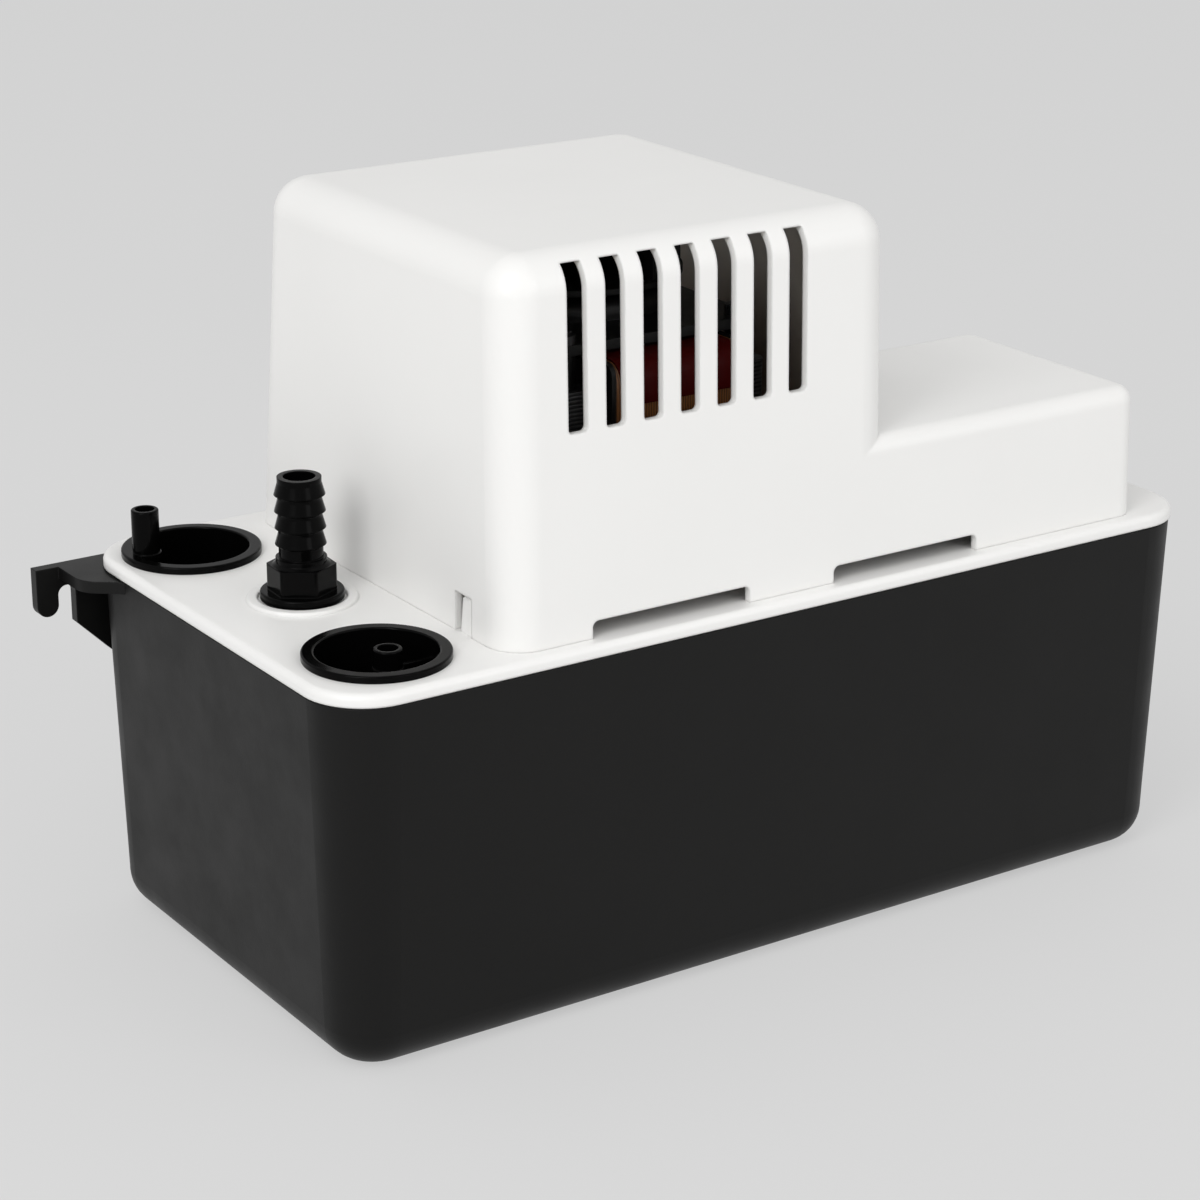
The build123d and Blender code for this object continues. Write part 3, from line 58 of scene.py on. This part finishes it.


class Graph:
    """Adds shader nodes to one node tree and links them."""

    def __init__(self, tree):
        self.tree = tree

    def add(self, kind, **settings):
        node = self.tree.nodes.new(kind)
        for key, value in settings.items():
            setattr(node, key, value)
        return node

    def link(self, source, target):
        """Joins two sockets, or sets the target to a plain number or tuple."""
        if isinstance(source, (int, float, tuple)):
            target.default_value = source
        else:
            self.tree.links.new(source, target)

    def calculate(self, operation, *sources):
        node = self.add("ShaderNodeMath", operation=operation)
        for source, target in zip(sources, node.inputs):
            self.link(source, target)
        return node.outputs["Value"]

    def blended(self, factor, first, second):
        """Shader that goes from first to second as factor goes from 0 to 1."""
        node = self.add("ShaderNodeMixShader")
        for source, target in zip((factor, first, second), node.inputs):
            self.link(source, target)
        return node.outputs["Shader"]

    def seen_directly(self):
        """1 on the rays that show a backdrop: from the camera, off gloss and through glass."""
        path = self.add("ShaderNodeLightPath").outputs
        off_gloss = self.calculate("MAXIMUM", path["Is Camera Ray"], path["Is Glossy Ray"])
        return self.calculate("MAXIMUM", off_gloss, path["Is Transmission Ray"])


class Material(Graph):
    """Principled material whose textures follow the object's own coordinates."""

    def __init__(self, name):
        self.material = bpy.data.materials.new(name)
        self.material.use_nodes = True
        super().__init__(self.material.node_tree)
        self.shader = self.tree.nodes["Principled BSDF"]
        self.place = self.add("ShaderNodeTexCoord").outputs["Object"]

    def stretched(self, stretch):
        """Object coordinates scaled per axis, for brushed or layered looks."""
        mapping = self.add("ShaderNodeMapping")
        self.link(stretch, mapping.inputs["Scale"])
        self.link(self.place, mapping.inputs["Vector"])
        return mapping.outputs["Vector"]

    def noise(self, scale, detail=3.0, rough=0.5, place=None):
        node = self.add("ShaderNodeTexNoise")
        self.link(scale, node.inputs["Scale"])
        self.link(detail, node.inputs["Detail"])
        self.link(rough, node.inputs["Roughness"])
        self.link(place or self.place, node.inputs["Vector"])
        return node.outputs["Fac"]

    def bands(self, axis, scale, distortion):
        node = self.add("ShaderNodeTexWave", bands_direction=axis)
        self.link(scale, node.inputs["Scale"])
        self.link(distortion, node.inputs["Distortion"])
        self.link(self.place, node.inputs["Vector"])
        return node.outputs["Fac"]

    def ramp(self, source, low, high, start=0.3, end=0.7):
        """Colour that goes from low to high as source goes from start to end."""
        node = self.add("ShaderNodeValToRGB")
        for element, position, color in zip(node.color_ramp.elements, (start, end), (low, high)):
            element.position = position
            element.color = (*color, 1)
        self.link(source, node.inputs["Fac"])
        return node.outputs["Color"]

    def spread(self, source, low, high, start=0.3, end=0.7):
        """Value that goes from low to high as source goes from start to end."""
        node = self.add("ShaderNodeMapRange")
        self.link(start, node.inputs["From Min"])
        self.link(end, node.inputs["From Max"])
        self.link(low, node.inputs["To Min"])
        self.link(high, node.inputs["To Max"])
        self.link(source, node.inputs["Value"])
        return node.outputs["Result"]

    def measured(self, operation, first, second):
        """Outputs of a node that works on two vectors."""
        node = self.add("ShaderNodeVectorMath", operation=operation)
        self.link(first, node.inputs[0])
        self.link(second, node.inputs[1])
        return node.outputs

    def mixed(self, factor, first, second):
        """Colour that goes from first to second as factor goes from 0 to 1."""
        node = self.add("ShaderNodeMix", data_type="RGBA")
        self.link(factor, node.inputs["Factor"])
        colors = [socket for socket in node.inputs if socket.type == "RGBA"]
        self.link(first, colors[0])
        self.link(second, colors[1])
        return next(socket for socket in node.outputs if socket.type == "RGBA")

    def soft_edge(self, radius):
        """Normal that rounds every edge of the mesh by radius."""
        node = self.add("ShaderNodeBevel", samples=6)
        self.link(radius, node.inputs["Radius"])
        return node.outputs["Normal"]

    def bump(self, height, strength, distance, under=None):
        node = self.add("ShaderNodeBump")
        self.link(strength, node.inputs["Strength"])
        self.link(distance, node.inputs["Distance"])
        self.link(height, node.inputs["Height"])
        if under is not None:
            self.link(under, node.inputs["Normal"])
        return node.outputs["Normal"]

    def paint(self, color, roughness=None, normal=None, **fixed):
        """Links the varying inputs and sets the even ones on the shader itself."""
        for name, source in (("Base Color", color), ("Roughness", roughness), ("Normal", normal)):
            if source is not None:
                self.link(source, self.shader.inputs[name])
        for name, value in fixed.items():
            self.shader.inputs[name.replace("_", " ")].default_value = value
        return self.material


def tint(color, factor):
    return tuple(min(1.0, channel * factor) for channel in color)


def inner_faces(g):
    """Where painted shade goes: 1 on the motor cover's faces that look at the motor, 0 on its
    outside.
    """
    from_motor = g.measured("SUBTRACT", g.place, MOTOR_MIDDLE)["Vector"]
    normal = g.add("ShaderNodeNewGeometry").outputs["True Normal"]
    outward = g.measured("DOT_PRODUCT", from_motor, normal)["Value"]
    split = g.add("ShaderNodeSeparateXYZ")
    g.link(g.place, split.inputs["Vector"])
    inside = g.calculate("LESS_THAN", outward, -INNER_FACE_REACH)
    above_foot = g.calculate("GREATER_THAN", split.outputs["Z"], INNER_FACE_FOOT)
    return g.calculate("MULTIPLY", inside, above_foot)


def painted_inner_shade(g, shade_color, unshaded_color):
    """Painted shade: the plastic darkened near the motor's middle and warmed by painted light
    bounced off the motor's copper, nearly its own colour further away.
    """
    away = g.measured("DISTANCE", g.place, MOTOR_MIDDLE)["Value"]
    return g.ramp(g.spread(away, 0.0, 1.0, *INNER_SHADE_REACH), shade_color, unshaded_color, 0.0, 1.0)


def moulded(name, color, rough, grain=1400.0, grain_height=0.00002, mottle=0.03, edge=0.0004,
            inside=None, **fixed):
    """Moulded plastic: faint mottling, uneven gloss, rounded edges, fine grain over a slow
    waviness. Inside gives the dark and the light colour of painted shade, warmed by painted
    bounced light, on a cover's inner faces."""
    g = Material(name)
    clouds = g.noise(CLOUDS_PER_METRE, 4.0)
    surface = g.ramp(clouds, tint(color, 1 - mottle), tint(color, 1 + mottle))
    if inside:
        # painted shade, warmed by painted light bounced off the motor's copper, on the cover's
        # inner faces
        surface = g.mixed(inner_faces(g), surface, painted_inner_shade(g, *inside))
    glossier, duller = GLOSS_SPREAD
    wave = g.bump(g.noise(WAVES_PER_METRE, 1.0), 0.25, WAVE_HEIGHT, g.soft_edge(edge))
    return g.paint(
        color=surface,
        roughness=g.spread(g.noise(GLOSS_PER_METRE, 5.0, 0.6), rough + glossier, rough + duller),
        normal=g.bump(g.noise(grain, 2.0), 0.5, grain_height, wave),
        **fixed,
    )


def metal(name, color, rough, stretch=(1, 1, 1), grain=900.0, grain_height=0.000015):
    """Metal with streaked gloss and a worked surface."""
    g = Material(name)
    streaks = g.noise(grain, 4.0, 0.6, g.stretched(stretch))
    return g.paint(
        color=g.ramp(g.noise(45.0, 5.0), tint(color, 0.86), tint(color, 1.08)),
        roughness=g.spread(streaks, rough - 0.08, rough + 0.12),
        normal=g.bump(streaks, 0.4, grain_height),
        Metallic=1.0,
    )


def laminated(name, color, rough):
    """Stack of thin steel sheets seen at its edges."""
    g = Material(name)
    sheets = g.bands("Z", 320.0, 0.4)
    return g.paint(
        color=g.ramp(sheets, tint(color, 0.55), tint(color, 1.1), 0.2, 0.6),
        roughness=g.spread(g.noise(400.0), rough - 0.08, rough + 0.1),
        normal=g.bump(sheets, 0.6, 0.00006),
        Metallic=0.9,
    )


def wound(name, color, rough):
    """Varnished turns of enamelled wire lying side by side."""
    g = Material(name)
    turns = g.bands("X", 460.0, 0.6)
    return g.paint(
        color=g.ramp(turns, tint(color, 0.35), tint(color, 1.2), 0.1, 0.7),
        roughness=g.spread(g.noise(120.0), rough - 0.06, rough + 0.1),
        normal=g.bump(turns, 0.9, 0.00012),
        Coat_Weight=0.6,
        Coat_Roughness=0.18,
    )


# ------------------------------------------------------------------ materials
WHITE = (0.86, 0.855, 0.84)
WHITE_FINISH = dict(rough=0.36, grain=900.0, grain_height=0.000012, mottle=0.008, edge=0.0009)

materials = {slot: moulded(slot, **finish) for slot, finish in {
    "white_abs": dict(color=WHITE, **WHITE_FINISH),
    "black_abs": dict(color=(0.0040, 0.0039, 0.0037), rough=0.44, grain=2200.0,
                      grain_height=0.00004, mottle=0.10, Specular_IOR_Level=0.22),
    "black_gloss": dict(color=(0.0014, 0.0014, 0.0014), rough=0.16, grain=1200.0,
                        grain_height=0.000008, mottle=0.08, Specular_IOR_Level=0.06),
    "rubber": dict(color=(0.016, 0.016, 0.016), rough=0.62, grain=1600.0,
                   grain_height=0.00004, mottle=0.12),
    "cream_plastic": dict(color=(0.72, 0.62, 0.42), rough=0.42, grain=900.0, mottle=0.05),
    "float_foam": dict(color=(0.72, 0.71, 0.66), rough=0.66, grain=700.0,
                       grain_height=0.00012, mottle=0.05),
    "clear_vinyl": dict(color=(0.62, 0.62, 0.57), rough=0.22, grain=300.0, mottle=0.05,
                        Transmission_Weight=0.45),
    "red_tape": dict(color=(0.05, 0.0015, 0.0015), rough=0.34, grain=400.0,
                     grain_height=0.00004, mottle=0.14, Specular_IOR_Level=0.06),
    "black_metal": dict(color=(0.004, 0.004, 0.004), rough=0.4, grain=1500.0,
                        grain_height=0.00003, mottle=0.10, Specular_IOR_Level=0.3),
}.items()}
materials.update({
    "steel": metal("steel", (0.60, 0.60, 0.61), 0.34),
    "cast_aluminium": metal("cast_aluminium", (0.55, 0.55, 0.56), 0.48, grain=500.0,
                            grain_height=0.00006),
    "bronze": metal("bronze", (0.58, 0.40, 0.20), 0.45),
    "copper": metal("copper", (0.72, 0.34, 0.18), 0.3, stretch=(1, 1, 0.1)),
    "laminations": laminated("laminations", (0.10, 0.10, 0.102), 0.42),
    "winding": wound("winding", (0.20, 0.08, 0.025), 0.34),
})
# nodes that look unlike the rest of their slot
of_their_own = {
    # inside: dark and light colour of painted shade on the cover's inner faces, warmed by painted
    # bounced light
    "motor_cover": moulded("cover_abs", WHITE, **WHITE_FINISH,
                           inside=((0.16, 0.10, 0.06), (0.92, 0.86, 0.78))),
    "bobbin": moulded("dark_nylon", (0.006, 0.0055, 0.005), 0.4, grain=1200.0, mottle=0.1,
                      Specular_IOR_Level=0.2),
    "motor_screws": moulded("blackened_steel", (0.010, 0.010, 0.011), 0.36, grain=1500.0,
                            mottle=0.1),
}

for entry in frame["record"]["subparts"]:
    cad = nodes[entry["node"]]
    cad.data.materials.clear()
    cad.data.materials.append(of_their_own.get(entry["node"], materials[entry["material_slot"]]))

# ------------------------------------------------------------------ floor
# as seen: an even tone, with part of its own light and shadow
floor_mesh = bpy.data.meshes.new("floor")
corners = [(x * FLOOR_HALF, y * FLOOR_HALF, 0) for x, y in ((-1, -1), (1, -1), (1, 1), (-1, 1))]
floor_mesh.from_pydata(corners, [], [(0, 1, 2, 3)])
floor = bpy.data.objects.new("floor", floor_mesh)
bpy.context.scene.collection.objects.link(floor)

g = Material("floor")
floor_mesh.materials.append(g.paint(
    color=g.ramp(g.noise(3.0), (FLOOR_WHITE * (1 - FLOOR_MOTTLE),) * 3,
                 (FLOOR_WHITE * (1 + FLOOR_MOTTLE),) * 3),
    Roughness=0.9, Specular_IOR_Level=0.0,
))
even = g.add("ShaderNodeEmission")
even.inputs["Color"].default_value = (BACKDROP, BACKDROP, BACKDROP, 1)
evenness = g.calculate("MULTIPLY", g.seen_directly(), 1 - SHADOW_SHARE)
surface = g.blended(evenness, g.shader.outputs["BSDF"], even.outputs["Emission"])
g.link(surface, g.tree.nodes["Material Output"].inputs["Surface"])

# ------------------------------------------------------------------ world and lamps
world = bpy.data.worlds.new("studio")
world.use_nodes = True
g = Graph(world.node_tree)
room = g.tree.nodes["Background"]
room.inputs["Color"].default_value = (1, 1, 1, 1)
room.inputs["Strength"].default_value = WORLD_LIGHT
backdrop = g.add("ShaderNodeBackground")
backdrop.inputs["Color"].default_value = (BACKDROP, BACKDROP, BACKDROP, 1)
surface = g.blended(g.seen_directly(), room.outputs["Background"],
                    backdrop.outputs["Background"])
g.link(surface, g.tree.nodes["World Output"].inputs["Surface"])
bpy.context.scene.world = world

for name, place, aim, width, height, watts in LAMPS:
    light = bpy.data.lights.new(name, "AREA")
    light.shape = "RECTANGLE"
    light.size = width
    light.size_y = height
    light.energy = watts
    lamp = bpy.data.objects.new(name, light)
    lamp.location = place
    lamp.rotation_euler = (Vector(aim) - Vector(place)).to_track_quat("-Z", "Y").to_euler()
    bpy.context.scene.collection.objects.link(lamp)

# ------------------------------------------------------------------ view
camera_data = bpy.data.cameras.new("camera")
camera_data.sensor_width = SENSOR
camera_data.lens = FOCAL_PIXELS * SENSOR / FRAME_PIXELS
camera = bpy.data.objects.new("camera", camera_data)
bpy.context.scene.collection.objects.link(camera)
axes = Matrix((RIGHT, RIGHT.cross(LOOK), -LOOK)).transposed()
camera.matrix_world = Matrix.Translation(CAMERA_AT) @ axes.to_4x4()
bpy.context.scene.camera = camera
bpy.context.scene.view_settings.view_transform = "Standard"
